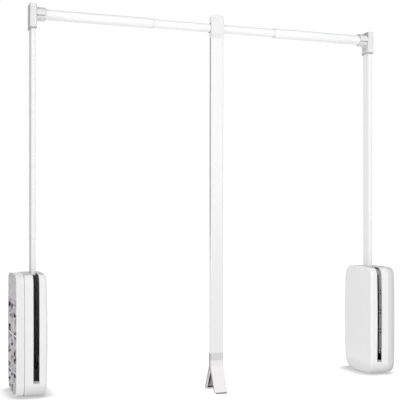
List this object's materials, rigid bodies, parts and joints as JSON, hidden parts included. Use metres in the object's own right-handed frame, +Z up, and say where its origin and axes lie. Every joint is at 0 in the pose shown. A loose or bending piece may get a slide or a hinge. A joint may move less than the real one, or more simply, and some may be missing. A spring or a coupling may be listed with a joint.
{
  "type": "pull down closet rod",
  "caption": "Wardrobe lift: side housings with swinging flat arms, a telescoping hanging rail and a forked pull handle that brings the rail down and forward.",
  "frame": {"origin": "centre of the left housing's screw pattern, on the face of the left side panel", "axes": "+X to the right side panel, +Y to the back of the wardrobe, +Z up"},
  "size_m": [0.926, 0.1354, 0.8856],
  "materials": {
    "shell_plastic": "satin",
    "cover_plastic": "satin",
    "connector_plastic": "satin",
    "guard_plastic": "satin",
    "handle_plastic": "satin",
    "collar_plastic": "satin",
    "grip_plastic": "satin",
    "bearing_plastic": "satin",
    "buffer_rubber": "matte",
    "arm_paint": "satin",
    "rail_paint": "satin",
    "handle_paint": "satin",
    "zinc_steel": "satin",
    "screw_steel": "polished",
    "strut_steel": "satin",
    "rod_chrome": "polished"
  },
  "bodies": {
    "left_housing": {"left_base_shell": "shell_plastic", "left_mechanism_plate": "zinc_steel", "left_plate_screws": "zinc_steel", "left_pivot_shaft": "zinc_steel", "left_shaft_clips": "zinc_steel", "left_strut_anchor": "zinc_steel", "left_cover": "cover_plastic", "left_slot_guard": "guard_plastic", "left_slot_buffers": "buffer_rubber"},
    "left_arm": {"left_arm_tube": "arm_paint", "left_crank_cheek": "zinc_steel", "left_plain_cheek": "zinc_steel", "left_crank_pin": "zinc_steel", "left_arm_rivets": "zinc_steel", "left_arm_bushes": "bearing_plastic", "left_rail_connector": "connector_plastic", "left_connector_screw": "screw_steel", "left_rail_tube": "rail_paint", "left_glide_sleeve": "bearing_plastic"},
    "left_strut_cylinder": {"left_strut_tube": "strut_steel", "left_strut_top_eye": "strut_steel"},
    "left_strut_piston": {"left_strut_rod": "rod_chrome", "left_rod_eye": "strut_steel"},
    "right_housing": {"right_base_shell": "shell_plastic", "right_mechanism_plate": "zinc_steel", "right_plate_screws": "zinc_steel", "right_pivot_shaft": "zinc_steel", "right_shaft_clips": "zinc_steel", "right_strut_anchor": "zinc_steel", "right_cover": "cover_plastic", "right_slot_guard": "guard_plastic", "right_slot_buffers": "buffer_rubber"},
    "right_arm": {"right_arm_tube": "arm_paint", "right_crank_cheek": "zinc_steel", "right_plain_cheek": "zinc_steel", "right_crank_pin": "zinc_steel", "right_arm_rivets": "zinc_steel", "right_arm_bushes": "bearing_plastic", "right_rail_connector": "connector_plastic", "right_connector_screw": "screw_steel", "right_rail_tube": "rail_paint", "right_glide_sleeve": "bearing_plastic"},
    "right_strut_cylinder": {"right_strut_tube": "strut_steel", "right_strut_top_eye": "strut_steel"},
    "right_strut_piston": {"right_strut_rod": "rod_chrome", "right_rod_eye": "strut_steel"},
    "rail_middle": {"middle_rail_tube": "rail_paint", "rail_bush": "bearing_plastic", "bush_grub_screw": "screw_steel"},
    "pull_handle": {"handle_head": "handle_plastic", "handle_head_cap": "handle_plastic", "head_cap_screws": "screw_steel", "handle_bar": "handle_paint", "grip_collar": "collar_plastic", "handle_grip": "grip_plastic", "grip_screw": "screw_steel"}
  },
  "joints": [
    {"name": "width_adjust", "type": "slide", "parent": "left_housing", "child": "right_housing", "axis": [1, 0, 0], "range_m": [-0.0935, 0.2265]},
    {"name": "arm_swing", "type": "hinge", "parent": "left_housing", "child": "left_arm", "pos_m": [0.0425, -0.0095, -0.0575], "axis": [1, 0, 0], "range_deg": [0, 112], "stiffness_Nm_per_rad": 5, "springref_deg": -114.59},
    {"name": "right_arm_swing", "type": "hinge", "parent": "right_housing", "child": "right_arm", "pos_m": [0.8835, -0.0095, -0.0575], "axis": [1, 0, 0], "range_deg": [0, 112]},
    {"name": "rail_extend", "type": "slide", "parent": "left_arm", "child": "rail_middle", "axis": [1, 0, 0], "range_m": [-0.047, 0.1135]},
    {"name": "handle_swing", "type": "hinge", "parent": "rail_middle", "child": "pull_handle", "pos_m": [0.4735, -0.0095, 0.7005], "axis": [1, 0, 0], "range_deg": [-120, 30]},
    {"name": "left_strut_swing", "type": "hinge", "parent": "left_housing", "child": "left_strut_cylinder", "pos_m": [0.0235, 0.002, 0.0985], "axis": [1, 0, 0], "range_deg": [-3.3, 0]},
    {"name": "left_rod_swing", "type": "hinge", "parent": "left_arm", "child": "left_strut_piston", "pos_m": [0.0235, 0.00197, -0.06553], "axis": [1, 0, 0], "range_deg": [-115.5, 0]},
    {"name": "right_strut_swing", "type": "hinge", "parent": "right_housing", "child": "right_strut_cylinder", "pos_m": [0.9025, 0.002, 0.0985], "axis": [1, 0, 0], "range_deg": [-3.3, 0]},
    {"name": "right_rod_swing", "type": "hinge", "parent": "right_arm", "child": "right_strut_piston", "pos_m": [0.9025, 0.00197, -0.06553], "axis": [1, 0, 0], "range_deg": [-115.5, 0]}
  ],
  "couplings": [
    {"joint": "right_arm_swing", "follows": "arm_swing", "ratio": 1},
    {"joint": "rail_extend", "follows": "width_adjust", "ratio": 0.5},
    {"joint": "left_strut_swing", "follows": "arm_swing", "ratio": -0.027},
    {"joint": "left_rod_swing", "follows": "arm_swing", "ratio": -1.027},
    {"joint": "right_strut_swing", "follows": "arm_swing", "ratio": -0.027},
    {"joint": "right_rod_swing", "follows": "arm_swing", "ratio": -1.027}
  ]
}
